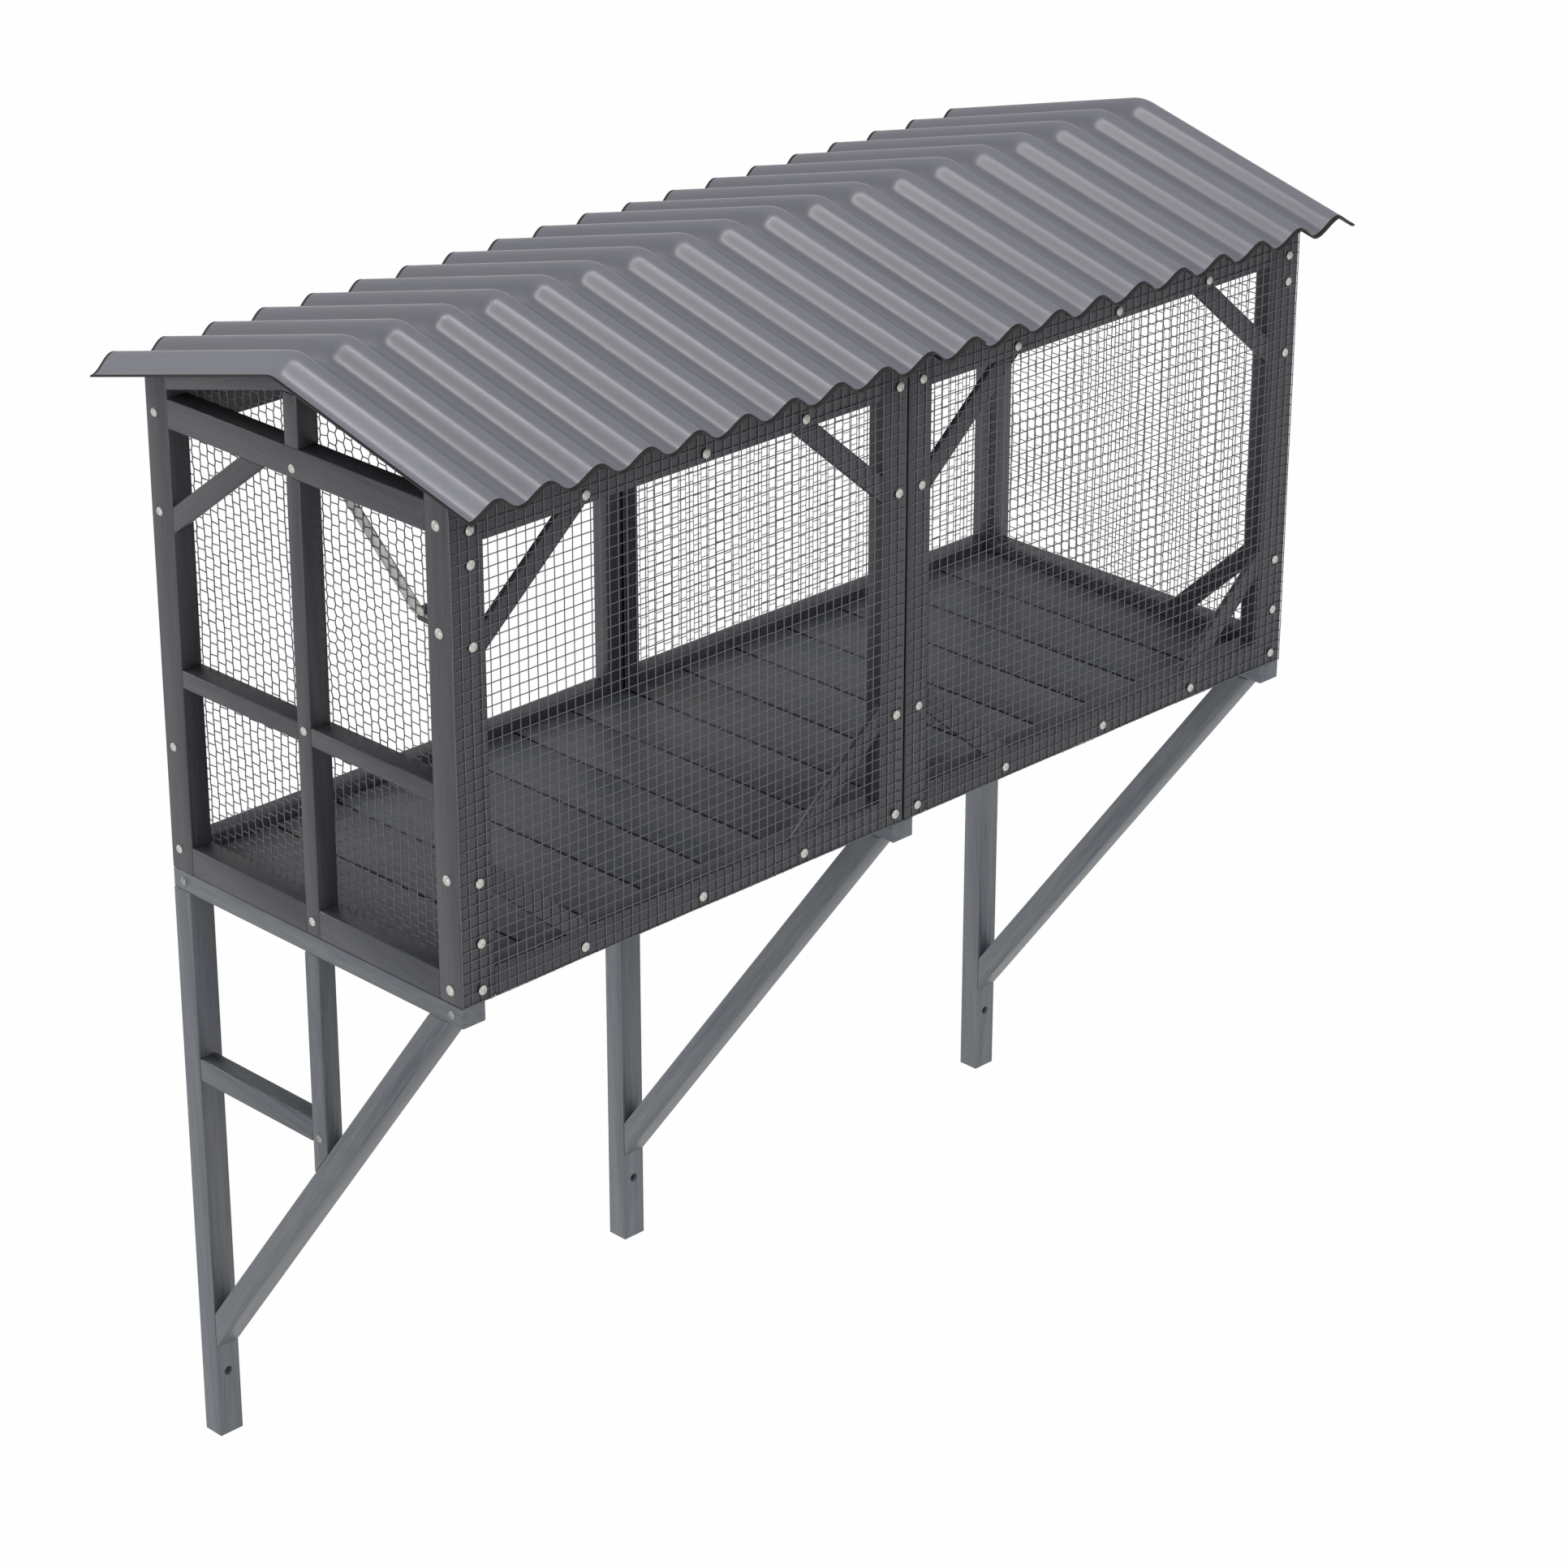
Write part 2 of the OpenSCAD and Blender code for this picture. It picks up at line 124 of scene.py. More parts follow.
class Finish:
    """A material, or the studio's air, whose nodes are added one by one."""

    def __init__(self, owner):
        owner.use_nodes = True
        self.owner, self.tree = owner, owner.node_tree
        self.tree.nodes.clear()

    def add(self, kind, settings=None, values=None, out=0):
        """A node with its settings, then its sockets' values or links."""
        node = self.tree.nodes.new("ShaderNode" + kind)
        for name, value in (settings or {}).items():
            setattr(node, name, value)
        for name, value in (values or {}).items():
            socket = node.inputs[name]
            if isinstance(value, Tone):
                self.tree.links.new(value.socket, socket)
            elif socket.type == "RGBA":
                socket.default_value = (*value, 1)
            else:
                socket.default_value = value
        return Tone(self, node.outputs[out]) if node.outputs else None

    def place(self):
        return self.add("TexCoord", out="Object")

    def stretched(self, vector, *amounts):
        return self.add("VectorMath", {"operation": "MULTIPLY"}, {0: vector, 1: amounts})

    def clouds(self, vector, scale, detail=3, roughness=0.5):
        return self.add("TexNoise", values={
            "Vector": vector, "Scale": scale, "Detail": detail, "Roughness": roughness})

    def scaled(self, colour, amount):
        return self.add("VectorMath", {"operation": "SCALE"}, {0: colour, "Scale": amount})

    def mixed(self, share, first, second):
        return self.add("Mix", {"data_type": "RGBA"}, {0: share, 6: first, 7: second}, out=2)

    def layered(self, share, first, second):
        """Two shaders, with the second one's share."""
        return self.add("MixShader", values={0: share, 1: first, 2: second})

    def bump(self, height, depth):
        return self.add("Bump", values={"Height": height, "Distance": depth})

    def shown(self, surface, output="OutputMaterial"):
        """The material, or the air, that ends in this shader."""
        self.add(output, values={"Surface": surface})
        return self.owner

    def close(self, values):
        """The material with a surface of these values."""
        return self.shown(self.add("BsdfPrincipled", values=values))


def new_finish(name):
    return Finish(bpy.data.materials.new(name))


# How fast the painted shade in a seam fades at its edge, in shares per metre.
SEAM_FADE = 3000


def painted_timber(name, colour, streak, depth, shaded_seams):
    """Satin paint over timber: fibres and wider bands along the grain, and
    painted shade in seams and joints, each of them an axis, a middle, a reach and a share."""
    f = new_finish(name)
    grain = f.add("Attribute", {"attribute_name": "grain"}, out="Vector")
    tone = f.add("Attribute", {"attribute_name": "tone"}, out="Fac")
    fibre = f.clouds(f.stretched(grain, 9, 420, 420), 1, detail=4, roughness=0.6)
    band = f.clouds(f.stretched(grain, 2.5, 90, 90), 1, detail=2)
    blot = f.clouds(grain, 14)
    level = 1 + fibre.swing(streak * 1.4) + band.swing(streak * 0.9) \
        + blot.swing(0.12) + tone * 0.05
    place = f.place()
    # Each seam darkens the paint near a plane: painted shade where gaps and joints fall into
    # shadow.
    for axis, middle, reach, share in shaded_seams:
        off = abs(f.add("SeparateXYZ", values={0: place}, out=axis) - middle)
        painted_shade = f.add("Math", {"operation": "MULTIPLY", "use_clamp": True},
                     {0: reach - off, 1: SEAM_FADE})
        level = level * (1 - painted_shade * share)
    red, green, blue = colour
    cool = red * 0.94, green, blue * 1.05
    warm = red * 1.06, green, blue * 0.95
    return f.close({
        "Base Color": f.scaled(f.mixed(band * 3 - 1, cool, warm), level),
        "Roughness": 0.42 + fibre.swing(0.3) + blot.swing(0.15),
        "Normal": f.bump(fibre * 0.6 + band * 0.4, depth),
    })


def roof_paint(name, colour, rough):
    """The sheet's satin skin, with faint drawn lines along the slope."""
    f = new_finish(name)
    place = f.place()
    drawn = f.clouds(f.stretched(place, 260, 6, 6), 1, detail=2)
    cloud = f.clouds(place, 5, detail=1)
    return f.close({
        "Base Color": f.scaled(colour, 1 + drawn.swing(0.03) + cloud.swing(0.08)),
        "Roughness": rough + cloud.swing(0.06),
    })


def coated_wire(name, colour):
    """Dull coated wire, with the coat's thick and thin places."""
    f = new_finish(name)
    coat = f.clouds(f.place(), 260)
    return f.close({
        "Base Color": f.scaled(colour, 0.75 + coat * 0.5),
        "Metallic": 0.35,
        "Roughness": 0.4 + coat * 0.2,
        "Normal": f.bump(coat, 0.0001),
    })


def galvanised(name, colour):
    """Zinc with its spangle of crystals and dull stains."""
    f = new_finish(name)
    place = f.place()
    crystal = f.add("TexVoronoi", values={"Vector": place, "Scale": 240}, out="Color")
    crystal = f.add("SeparateColor", values={0: crystal})
    stain = f.clouds(place, 60, detail=4, roughness=0.65)
    return f.close({
        "Base Color": f.scaled(colour, 0.55 + crystal * 0.35 + stain * 0.6),
        "Metallic": 0.25,
        "Roughness": 0.42 + crystal * 0.15 + stain * 0.15,
        "Normal": f.bump(stain, 0.0002),
    })


def plated(name, colour):
    """The pale plating of the screw heads, dulled in places."""
    f = new_finish(name)
    dull = f.clouds(f.place(), 320)
    return f.close({
        "Base Color": f.scaled(colour, 0.85 + dull * 0.3),
        "Metallic": 0.25,
        "Roughness": 0.28 + dull * 0.2,
        "Normal": f.bump(dull, 0.00005),
    })


# Painted shade where the two modules meet, where the cage stands on its brackets,
# thinly on the front faces under the wire cloth, and on the sides of the boards under the
# floor's face.
MODULE_GAP_SHADE = ("X", 0, 0.0021, 0.9)
CAGE_JOINT_SHADE = ("Z", CAGE_Z, 0.0008, 0.8)
FRONT_FACE_SHADE = ("Y", FRONT_Y, 0.0004, 0.22)
BOARD_GAP_SHADE = ("Z", FLOOR_TOP - 0.01, 0.0099, 0.9)

FRAME_PAINT = painted_timber("frame_paint", linear(64, 65, 70), 0.75, 0.0006,
                             [MODULE_GAP_SHADE, CAGE_JOINT_SHADE, FRONT_FACE_SHADE])
BRACKET_PAINT = painted_timber("bracket_paint", linear(97, 101, 107), 0.8, 0.0007,
                               [CAGE_JOINT_SHADE])
FLOOR_PAINT = painted_timber("floor_paint", linear(88, 90, 95), 0.7, 0.0009,
                             [BOARD_GAP_SHADE])
ROOF_TOP = roof_paint("roof_skin", linear(124, 125, 134), 0.23)
# A near-black finish for the sheets' underside, cut edges and rims: painted shade, not the
# sheet's own colour.
ROOF_PAINTED_SHADE = roof_paint("roof_underside_painted_shade", linear(13, 13, 15), 0.6)
WIRE = coated_wire("wire_coat", linear(101, 103, 108))
ZINC = galvanised("strap_zinc", linear(178, 178, 173))
PLATE = plated("screw_plating", linear(205, 203, 196))
WORN_PLATE = plated("screw_plating_worn", linear(150, 152, 152))


# ---- Modelling ----

def fresh(primitive, **settings):
    """A new primitive, alone in the selection."""
    bpy.ops.object.select_all(action="DESELECT")
    primitive(**settings)
    return bpy.context.object


def only(obj):
    """Selects one object alone and makes it the active one."""
    bpy.ops.object.select_all(action="DESELECT")
    obj.select_set(True)
    bpy.context.view_layer.objects.active = obj


def edit(obj, *steps):
    """Runs steps on the whole mesh in edit mode."""
    only(obj)
    bpy.ops.object.mode_set(mode="EDIT")
    for step in steps:
        bpy.ops.mesh.select_all(action="SELECT")
        step()
    bpy.ops.object.mode_set(mode="OBJECT")


def trimmed(obj, place, outward):
    """Cuts away what lies outside a plane, and closes the cut."""
    edit(obj, lambda: bpy.ops.mesh.bisect(
        plane_co=place, plane_no=outward, clear_outer=True, use_fill=True))


def modified(obj, kind, **settings):
    """Adds a modifier and applies it."""
    only(obj)
    modifier = obj.modifiers.new(kind.lower(), kind)
    for name, value in settings.items():
        setattr(modifier, name, value)
    bpy.ops.object.modifier_apply(modifier=modifier.name)


def joined(parts):
    """The first of the parts, with the others joined to it."""
    bpy.ops.object.select_all(action="DESELECT")
    for part in parts:
        part.select_set(True)
    bpy.context.view_layer.objects.active = parts[0]
    bpy.ops.object.join()
    return parts[0]


def settle(obj, name, materials, slot, *nodes):
    obj.data.transform(obj.matrix_world)
    obj.matrix_world = Matrix.Identity(4)
    obj.name = obj.data.name = name
    if materials:
        obj.data.materials.clear()
    for material in materials:
        obj.data.materials.append(material)
    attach(obj, "root")
    if nodes:
        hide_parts(*nodes)
    return obj


# ---- Timber ----

# The tone of the timbers that are clearly paler, or darker, than the others,
# whose tone is drawn from -1 to 1.
SHADES = {
    "bracket_leg_left": 1.2,
    "bracket_leg_middle": 3,
    "bracket_leg_right": 1.6,
    "bracket_cross_bar": -4,
    "bracket_strut_left": -2,
}

# The grain's sides are square to the timber and to one of these two: the first
# for level and slanting timbers, the second for upright ones, whose direction
# has a rise of more than UPRIGHT.
ASKEW = Vector((0.31, 0.17, 0.93))
ALONG_FRONT = Vector((1, 0, 0))
UPRIGHT = 0.9

# How far the grain of one timber may lie from that of another.
GRAIN_SHIFT = 9


def islands(mesh):
    """The separate solids of a mesh, each as its vertices' numbers."""
    bm = bmesh.new()
    bm.from_mesh(mesh)
    seen, found = set(), []
    for start in bm.verts:
        if start.index in seen:
            continue
        group, queue = [], [start]
        seen.add(start.index)
        while queue:
            vert = queue.pop()
            group.append(vert.index)
            for edge in vert.link_edges:
                other = edge.other_vert(vert)
                if other.index not in seen:
                    seen.add(other.index)
                    queue.append(other)
        found.append(group)
    bm.free()
    return found


def longest_edges(mesh, groups):
    """The longest edge of each solid, as a vector."""
    group_of = {index: number for number, group in enumerate(groups) for index in group}
    longest = [Vector((0, 0, 0))] * len(groups)
    for edge in mesh.edges:
        a, b = edge.vertices
        run = mesh.vertices[b].co - mesh.vertices[a].co
        if run.length > longest[group_of[a]].length + MERGE:
            longest[group_of[a]] = run
    return longest


def lay_grain(obj, node):
    """Gives each solid its own grain, along its longest edge, and its tone."""
    mesh = obj.data
    chance = random.Random(node)
    groups = islands(mesh)
    longest = longest_edges(mesh, groups)
    mesh.attributes.new("grain", "FLOAT_VECTOR", "POINT")
    mesh.attributes.new("tone", "FLOAT", "POINT")
    grain, tone = mesh.attributes["grain"], mesh.attributes["tone"]
    for group, run in zip(groups, longest):
        along = run.normalized()
        side = along.cross(ASKEW if abs(along.z) < UPRIGHT else ALONG_FRONT).normalized()
        across = along.cross(side)
        shift = Vector([chance.uniform(0, GRAIN_SHIFT) for _ in range(3)])
        shade = SHADES.get(node, chance.uniform(-1, 1))
        for index in group:
            co = mesh.vertices[index].co
            own = Vector((co.dot(along), co.dot(side), co.dot(across)))
            grain.data[index].vector = own + shift
            tone.data[index].value = shade


def eased(node, material, slot, radius):
    """A copy of a solid with its arrises eased, as planed timber has."""
    obj = NODES[node].copy()
    obj.data = NODES[node].data.copy()
    obj.parent = None
    # The copy leaves the node's own marks behind.
    for key in list(obj.keys()):
        del obj[key]
    bpy.context.scene.collection.objects.link(obj)
    edit(obj,
         lambda: bpy.ops.mesh.remove_doubles(threshold=MERGE),
         lambda: bpy.ops.mesh.dissolve_limited(angle_limit=math.radians(1)))
    modified(obj, "BEVEL", width=radius, segments=2, limit_method="ANGLE",
             angle_limit=math.radians(30), use_clamp_overlap=True)
    edit(obj, lambda: bpy.ops.mesh.quads_convert_to_tris())
    bpy.ops.object.shade_smooth_by_angle(angle=math.radians(40))
    lay_grain(obj, node)
    return settle(obj, "timber_" + node, [material], slot, node)


# The width of the eased arrises.
BRACKET_EASE = 0.0018
BOARD_EASE = 0.0018
FRAME_EASE = 0.0014
STRAP_EASE = 0.0005

for node in sorted(NODES):
    if "mesh" in node or node.startswith("roof_sheet"):
        continue
    if node == "left_end_strap":
        eased(node, ZINC, "strap_steel", STRAP_EASE).name = "steel_strap"
    elif node.startswith("bracket_"):
        eased(node, BRACKET_PAINT, "bracket_timber", BRACKET_EASE)
    elif node.startswith("floor_boards"):
        eased(node, FLOOR_PAINT, "floor_timber", BOARD_EASE)
    else:
        eased(node, FRAME_PAINT, "frame_timber", FRAME_EASE)


# ---- Wire cloth ----

# The square of the mesh.
CELL = 0.0127

# How quickly the cloth's long bends and its short kinks change along it, and
# the share of them that goes in and out.
SWAY_RATE = 9
KINK_RATE = 70
IN_AND_OUT = 0.4

# Netting is looser towards its top, and in patches.
LOOSER_UP = 0.9
LOOSE_PATCH = 1.4
PATCH_RATE = 6


def wires(thick, length, pieces, axis, start, *rows):
    """Straight wires along an axis, the first at start, repeated by each row's
    count and step."""
    turn = {0: (0, math.pi / 2, 0), 1: (math.pi / 2, 0, 0), 2: (0, 0, 0)}[axis]
    middle = Vector(start)
    middle[axis] += length / 2
    wire = fresh(bpy.ops.mesh.primitive_cylinder_add, vertices=6, radius=thick / 2,
                 depth=length, location=middle, rotation=turn)
    bpy.ops.object.transform_apply(location=True, rotation=True, scale=True)
    if pieces > 1:
        bm = bmesh.new()
        bm.from_mesh(wire.data)
        long_edges = [edge for edge in bm.edges if edge.calc_length() > length / 2]
        bmesh.ops.subdivide_edges(bm, edges=long_edges, cuts=pieces - 1,
                                  use_grid_fill=True)
        bm.to_mesh(wire.data)
        bm.free()
    for count, step in rows:
        modified(wire, "ARRAY", count=count, use_relative_offset=False,
                 use_constant_offset=True, constant_offset_displace=step)
    return wire


class Net:
    """The place of a CAD net, for wires of one thickness: its box, the axis
    across it and the flat one along it, and its cells."""

    def __init__(self, node, thick):
        self.low, self.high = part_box(node)
        self.size = self.high - self.low
        self.thin = min(range(3), key=lambda axis: self.size[axis])
        self.flat = 1 - self.thin
        width, height = self.size[self.flat] - thick, self.size.z - thick
        self.columns, self.rows = round(width / CELL), round(height / CELL)
        self.column, self.row = width / self.columns, height / self.rows

    def aside(self, count):
        """A step of some columns."""
        step = [0, 0, 0]
        step[self.flat] = count * self.column
        return step


def hung(cloth, node, net, sway, kink, cuts):
    """Bends the cloth a little out of true, trims it by planes and puts it in
    the place of a CAD net."""
    for vert in cloth.data.vertices:
        move = noise.noise_vector(vert.co * SWAY_RATE) * sway \
            + noise.noise_vector(vert.co * KINK_RATE) * kink
        move[net.thin] *= IN_AND_OUT
        vert.co += move
    for place, outward in cuts:
        trimmed(cloth, place, outward)
    bpy.ops.object.shade_smooth()
    settle(cloth, "cloth_" + node, [WIRE], "wire", node)


def welded_cloth(node, thick, sway, kink, cuts):
    """Square welded cloth for a front: its upright wires lie outside the level
    ones."""
    net = Net(node, thick)
    edge = thick / 2
    upright, level = list(net.low), list(net.low)
    upright[net.thin] += edge
    upright[net.flat] += edge
    level[net.thin] = net.high[net.thin] - edge
    level[2] += edge
    cloth = joined([
        wires(thick, net.size.z, net.rows, 2, upright, (net.columns + 1, net.aside(1))),
        wires(thick, net.size[net.flat], net.columns, net.flat, level,
              (net.rows + 1, (0, 0, net.row))),
    ])
    hung(cloth, node, net, sway, kink, cuts)


def netting(node, thick, sway, kink, waist, cuts=()):
    """Netting: upright wires, drawn together in turn by short cross pieces."""
    net = Net(node, thick)
    edge = thick / 2
    start = list(net.low)
    start[net.thin] = (net.low[net.thin] + net.high[net.thin]) / 2
    start[net.flat] += edge
    parts = [wires(thick, net.size.z, net.rows * 4, 2, start,
                   (net.columns + 1, net.aside(1)))]
    for odd in (0, 1):
        first = list(start)
        first[net.flat] += odd * net.column
        first[2] += edge + odd * net.row / 2
        parts.append(wires(thick, net.column, 1, net.flat, first,
                           (net.rows + 1 - odd, (0, 0, net.row)),
                           ((net.columns + 1 - odd) // 2, net.aside(2))))
    cloth = joined(parts)
    for vert in cloth.data.vertices:
        number = round((vert.co[net.flat] - start[net.flat]) / net.column)
        rise = vert.co.z - net.low.z
        phase = math.cos(2 * math.pi * (rise - edge) / net.row)
        patch = noise.noise(vert.co * PATCH_RATE)
        loose = max(0.0, rise / net.size.z * LOOSER_UP + LOOSE_PATCH * patch)
        vert.co[net.flat] += waist * loose * phase * (-1) ** number
    hung(cloth, node, net, sway, kink, cuts)


# The front cloths end short of the seam between the modules.
SEAM_MARGIN = 0.004
FRONT_WIRE = 0.0012
for node, side in (("front_mesh_left", -1), ("front_mesh_right", 1)):
    welded_cloth(node, FRONT_WIRE, sway=0.0006, kink=0.0003,
                 cuts=[((side * SEAM_MARGIN, 0, 0), (-side, 0, 0))])

# The end nets stop halfway up the rafters, and under the ridge beam.
RIDGE_MARGIN = 0.0005
GABLE_CUTS = [
    ((0, RIDGE_Y, TOP_Z + RAFTER_DZ / 2 + RIDGE_RISE),
     (0, side * math.sin(SLOPE), math.cos(SLOPE)))
    for side in (-1, 1)
] + [((0, RIDGE_Y, RIDGE_UNDER - RIDGE_MARGIN), (0, 0, 1))]
netting("back_mesh_right", 0.0009, sway=0.0008, kink=0.0006, waist=0.0003)
netting("left_end_mesh", 0.0013, sway=0.0026, kink=0.0016, waist=0.0010,
        cuts=GABLE_CUTS)
netting("right_end_mesh", 0.0011, sway=0.0022, kink=0.0014, waist=0.0005,
        cuts=GABLE_CUTS)


# ---- Roof sheets ----

WAVE = 2 * ROOF_HALF / WAVES
BEND_Z = RIDGE_Z - BEND_R / math.cos(SLOPE)
SLOPE_RUN = (-RIDGE_Y + EAVE) / math.cos(SLOPE) - BEND_R * math.tan(SLOPE)
WAVE_STEPS = 28
BEND_STEPS = 12

# A row of points past the bend keeps the slope's shade even, and one at each
# eave ends the dark rim, a painted shadow along the eave.
PAST_BEND = 0.008
EAVE_SHADE_RIM = 0.005


def on_sheet(across, along, lift):
    """A point of the upper skin. Along runs from -1 at the front eave to 1 at
    the back one, and the middle half of it is the bend."""
    wave = WAVE_H * (1 - math.cos(2 * math.pi * across)) / 2
    reach = BEND_R + lift + SHEET_T + wave
    side = max(-1.0, min(1.0, along * 2))
    turn = -side * SLOPE
    run = (abs(along) * 2 - 1) * SLOPE_RUN if abs(along) > 0.5 else 0.0
    slide = math.copysign(run, along)
    return Vector((
        -ROOF_HALF + across * WAVE,
        RIDGE_Y - reach * math.sin(turn) + slide * math.cos(turn),
        BEND_Z + reach * math.cos(turn) + slide * math.sin(turn)))


def corrugated(node, first, last, lift):
    """A sheet from one wave to another, bent over the ridge, with its underside,
    cut edges and outer rim darkened as painted shade."""
    columns = round((last - first) * WAVE_STEPS)
    near = 0.5 + PAST_BEND / SLOPE_RUN / 2
    edge = 1 - EAVE_SHADE_RIM / SLOPE_RUN / 2
    bend = [-0.5 + step / BEND_STEPS for step in range(BEND_STEPS + 1)]
    stations = [-1, -edge, -0.75, -near, *bend, near, 0.75, edge, 1]
    rows = len(stations) - 1
    sheet = fresh(bpy.ops.mesh.primitive_grid_add,
                  x_subdivisions=columns, y_subdivisions=rows, size=2)
    sheet.data.materials.append(ROOF_TOP)
    sheet.data.materials.append(ROOF_PAINTED_SHADE)
    # The outermost rows and columns of faces get the dark finish, a painted shadow along the
    # sheet's edges.
    for face in sheet.data.polygons:
        face.material_index = int(abs(face.center.y) > 1 - 1.5 / rows
                                  or abs(face.center.x) > 1 - 1.5 / columns)
    for vert in sheet.data.vertices:
        across = first + (last - first) * (vert.co.x + 1) / 2
        row = round((vert.co.y + 1) / 2 * rows)
        vert.co = on_sheet(across, stations[row], lift)
    # The underside and the cut edges take the painted-shade finish.
    modified(sheet, "SOLIDIFY", thickness=SHEET_T, offset=-1,
             material_offset=1, material_offset_rim=1)
    bpy.ops.object.shade_smooth_by_angle(angle=math.radians(50))
    settle(sheet, "sheet_" + node, [], "roof_sheet", node)


LEFT_END_WAVE = WAVES / 2 + 0.75
corrugated("roof_sheet_left", 0, LEFT_END_WAVE, 2 * SEAT + SHEET_T)
corrugated("roof_sheet_right", LEFT_END_WAVE - LAP, WAVES, SEAT)


# ---- Screws ----

HEAD_R = 0.0054
DOME_Z = 0.0006
DOME_FLATNESS = 0.46
FLANGE_R = HEAD_R + 0.0005
FLANGE_H = 0.0008
FLANGE_EASE = 0.0003
# The block that cuts each bar of the cross recess, and its middle's height.
RECESS = (0.0042, 0.0009, 0.0024)
RECESS_Z = 0.0035

# Millimetres in a metre, for the places of the screws.
MM = 1000


def screw_head():
    """One domed head on a thin flange, with a cross recess, facing +Z."""
    dome = fresh(bpy.ops.mesh.primitive_uv_sphere_add,
                 segments=20, ring_count=12, radius=HEAD_R)
    trimmed(dome, (0, 0, 0), (0, 0, -1))
    dome.scale.z = DOME_FLATNESS
    dome.location.z = DOME_Z
    bpy.ops.object.transform_apply(location=True, rotation=True, scale=True)
    for turn in (0, math.pi / 2):
        recess = fresh(bpy.ops.mesh.primitive_cube_add, size=1, location=(0, 0, RECESS_Z),
                       rotation=(0, 0, turn), scale=RECESS)
        modified(dome, "BOOLEAN", object=recess, operation="DIFFERENCE", solver="EXACT")
        bpy.data.objects.remove(recess)
    flange = fresh(bpy.ops.mesh.primitive_cylinder_add, vertices=20, radius=FLANGE_R,
                   depth=FLANGE_H, location=(0, 0, FLANGE_H / 2))
    modified(flange, "BEVEL", width=FLANGE_EASE, segments=2, limit_method="ANGLE")
    head = joined([dome, flange])
    bpy.ops.object.shade_smooth_by_angle(angle=math.radians(35))
    return head


HEAD = screw_head()


def screws(name, outward, places, size=1.0, finish=PLATE):
    """Heads at their places, turned outward, each with its own twist."""
    chance = random.Random(name)
    turn = Vector((0, 0, 1)).rotation_difference(Vector(outward)).to_matrix().to_4x4()
    heads = []
    for place in places:
        head = HEAD.copy()
        head.data = HEAD.data.copy()
        twist = Matrix.Rotation(chance.uniform(0, math.pi), 4, "Z")
        head.data.transform(Matrix.Translation(place) @ turn @ twist @ Matrix.Scale(size, 4))
        bpy.context.scene.collection.objects.link(head)
        heads.append(head)
    settle(joined(heads), name, [finish], "strap_steel")


def stack(across, *heights):
    """Screws one above the other."""
    return [(across, height) for height in heights]


def line(height, *across):
    """Screws side by side."""
    return [(place, height) for place in across]


def on_length(y, places):
    """Places on the front or the back, in mm from the cage's left end, as the
    front is seen, and its foot."""
    return [Vector((x / MM - HALF_LENGTH, y, CAGE_Z + z / MM)) for x, z in places]


def on_end(side, places):
    """Places on an end, in mm from the cage's front and foot."""
    return [Vector((side * HALF_LENGTH, FRONT_Y + y / MM, CAGE_Z + z / MM))
            for y, z in places]


CLOTH_Y = FRONT_Y - NET_T
screws("screws_front_left", (0, -1, 0), on_length(
    CLOTH_Y,
    stack(27, 527, 490, 401, 137, 68, 14) + line(522, 184, 354, 501)
    + line(13, 172, 345, 500) + stack(645, 522, 399, 135, 13)), 0.92)
screws("screws_front_right", (0, -1, 0), on_length(
    CLOTH_Y,
    stack(681, 522, 399, 135, 13) + line(522, 833, 1002, 1158)
    + line(13, 828, 996, 1153) + stack(1302, 519, 487, 399, 136, 71, 14)), 0.86)
screws("screws_left_end_front", (-1, 0, 0), on_end(-1, stack(18, 534, 418, 143, 16)))
screws("screws_left_end_back", (-1, 0, 0), on_end(
    -1, stack(470, 536, 424, 149, 26) + stack(242, 534, 240, 17)), 0.84)
screws("screws_right_end", (1, 0, 0), on_end(
    1, stack(470, 534, 418, 143, 16) + stack(242, 534, 17)
    + stack(18, 534, 418, 143, 16)))
screws("screws_back", (0, 1, 0), on_length(
    0, [place for x in (14, 647, 673, 1306) for place in stack(x, 528, 405, 140, 17)]))
screws("screws_left_bracket", (-1, 0, 0), on_end(
    -1, line(-12, 17, 466) + stack(247, -250)), 0.8, WORN_PLATE)
bpy.data.objects.remove(HEAD)


# ---- Studio ----

WHITE = (1, 1, 1)
PALE = (0.75, 0.75, 0.75)


def area_light(name, place, aim, size, power):
    """A lamp that faces what it is aimed at."""
    data = bpy.data.lights.new(name, "AREA")
    data.shape, data.energy = "RECTANGLE", power
    data.size, data.size_y = size
    lamp = bpy.data.objects.new(name, data)
    lamp.location = place
    lamp.rotation_euler = (Vector(aim) - Vector(place)).to_track_quat("-Z", "Y").to_euler()
    bpy.context.scene.collection.objects.link(lamp)


CATIO_MIDDLE = (0, -0.2, 0.6)
CABIN_MIDDLE = (0, -0.2, 1.0)
ROOF_FRONT = (0, -0.35, 1.23)
area_light("key", (-24, -6.4, 2.0), CATIO_MIDDLE, (12, 8), 2350)
area_light("top", (-6.1, 9.9, 22.9), ROOF_FRONT, (1.0, 9), 620)
area_light("sky", (-9.4, 9.6, 20.2), ROOF_FRONT, (3.6, 8), 110)
area_light("back", (-7.8, 23.4, 8.3), CABIN_MIDDLE, (6, 5), 1270)
area_light("fill", (4.2, -8.4, 8.2), CATIO_MIDDLE, (6, 4), 440)

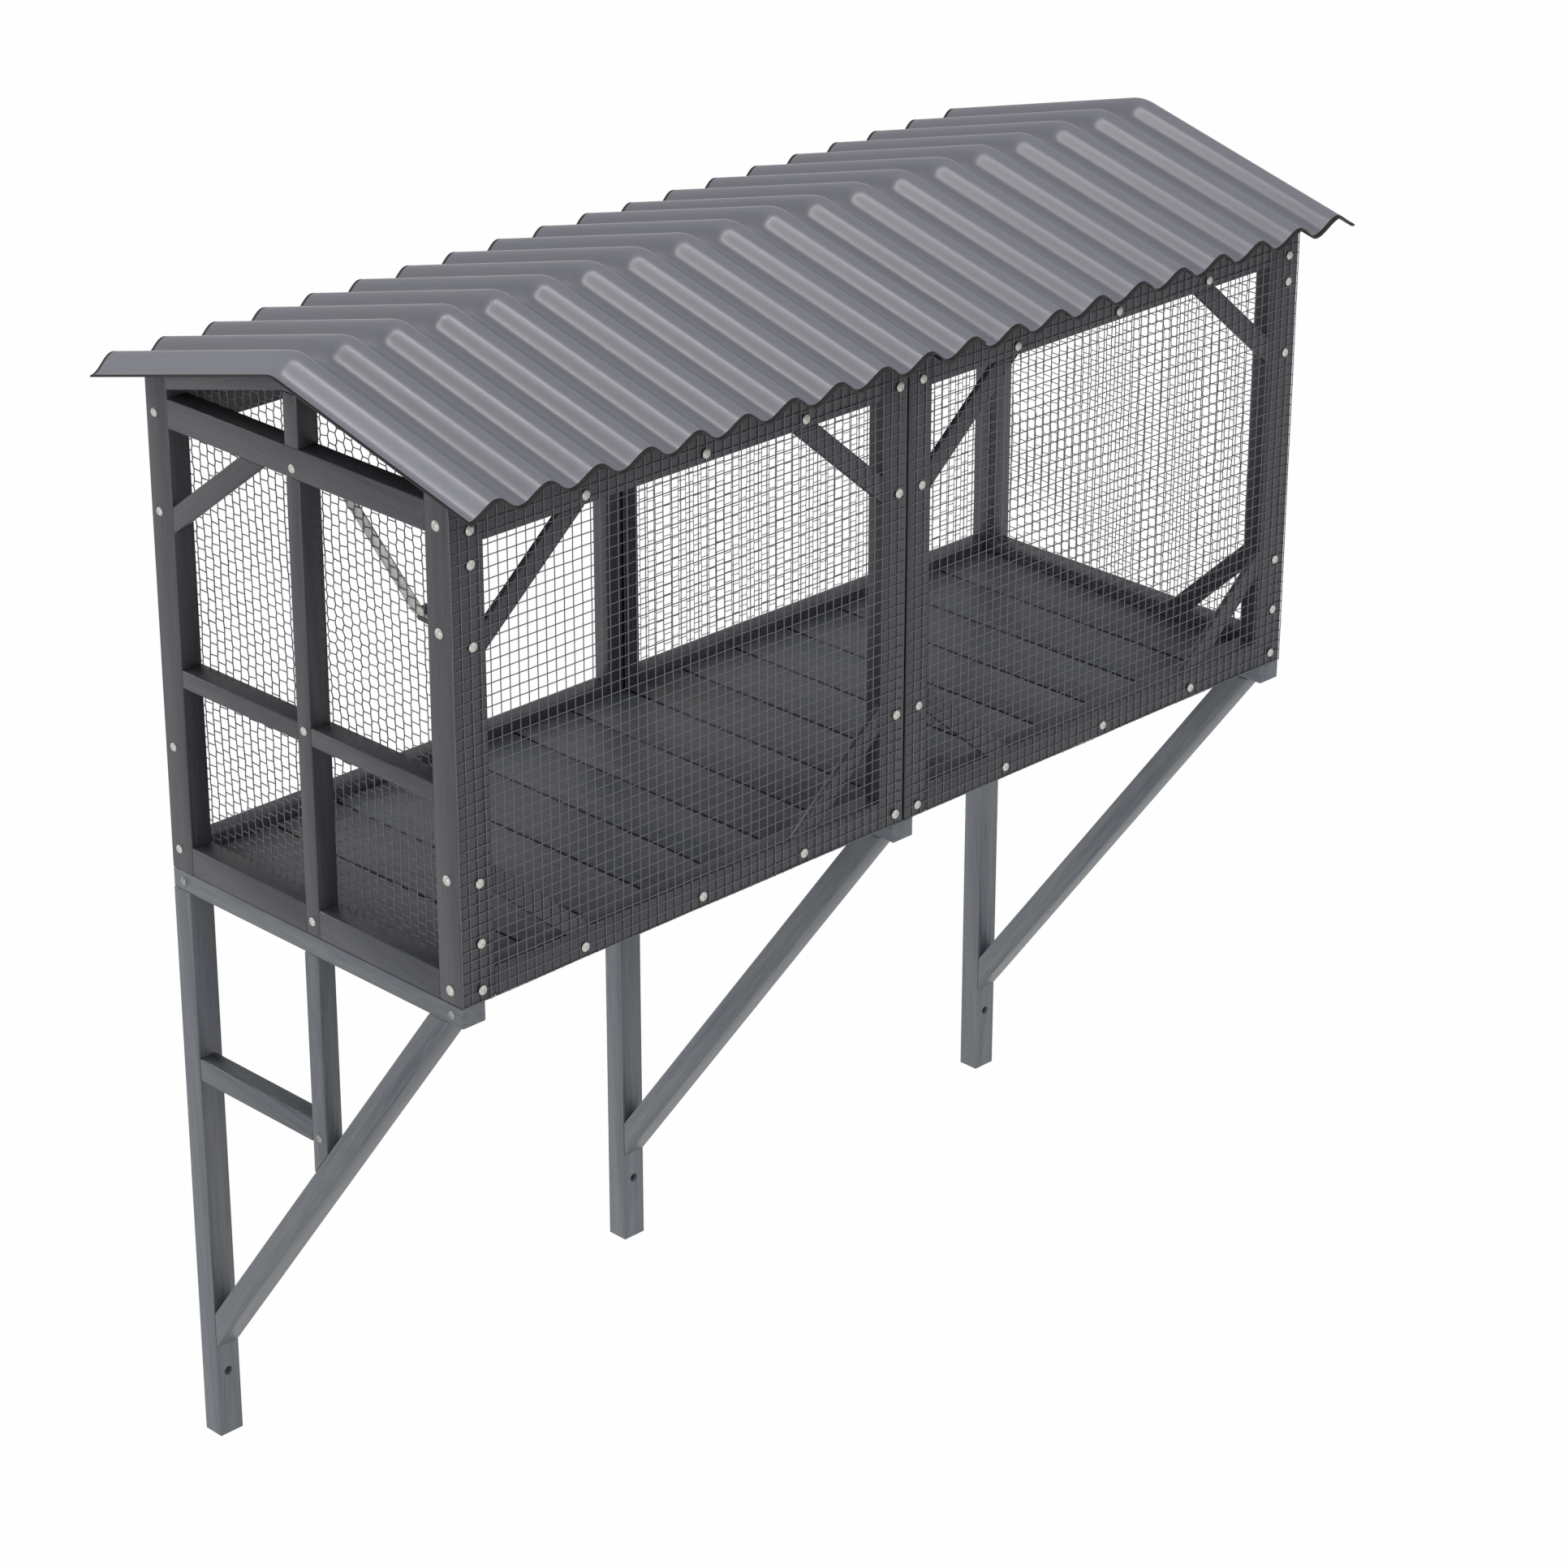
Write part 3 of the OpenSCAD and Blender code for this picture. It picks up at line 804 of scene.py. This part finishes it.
# The floor is white to the camera and in reflections, and pale to other light.
FLOOR_Z = -0.9
FLOOR_SPAN = 60
FLOOR_GLOW = 0.98
floor = fresh(bpy.ops.mesh.primitive_plane_add, size=FLOOR_SPAN, location=(0, 0, FLOOR_Z))
floor.name = "studio_floor"
pale = new_finish("studio_pale")
seen = pale.add("LightPath", out="Is Camera Ray") \
    + pale.add("LightPath", out="Is Glossy Ray")
matt = pale.add("BsdfDiffuse", values={"Color": PALE})
glow = pale.add("Emission", values={"Color": WHITE, "Strength": 1.0})
floor.data.materials.append(pale.shown(pale.layered(seen * FLOOR_GLOW, matt, glow)))

# The air is white to the camera, and dimmer as light.
AIR_LIGHT = 0.47
air = Finish(bpy.data.worlds.new("studio_air"))
open_air = air.add("Background", values={"Color": WHITE, "Strength": AIR_LIGHT})
white_air = air.add("Background", values={"Color": WHITE, "Strength": 1.0})
to_camera = air.add("LightPath", out="Is Camera Ray")
air.shown(air.layered(to_camera, open_air, white_air), "OutputWorld")
bpy.context.scene.world = air.owner

# The photograph's viewing angle.
YAW, PITCH, ROLL = math.radians(44.87), math.radians(24.66), math.radians(0.08)
CAMERA_AT = (-3.4454, -3.7543, 2.8698)
LENS_MM, SENSOR_MM = 106.68, 36
FARTHEST = 100
forward = Vector((math.sin(YAW) * math.cos(PITCH),
                  math.cos(YAW) * math.cos(PITCH), -math.sin(PITCH)))
right = Vector((math.cos(YAW), -math.sin(YAW), 0))
up = right.cross(forward)
right, up = (math.cos(ROLL) * right + math.sin(ROLL) * up,
             math.cos(ROLL) * up - math.sin(ROLL) * right)
lens = bpy.data.cameras.new("camera")
lens.lens, lens.sensor_width, lens.clip_end = LENS_MM, SENSOR_MM, FARTHEST
camera = bpy.data.objects.new("camera", lens)
camera.matrix_world = Matrix.Translation(CAMERA_AT) @ Matrix(
    (right, up, -forward)).transposed().to_4x4()
bpy.context.scene.collection.objects.link(camera)
bpy.context.scene.camera = camera
bpy.context.scene.view_settings.view_transform = "Standard"
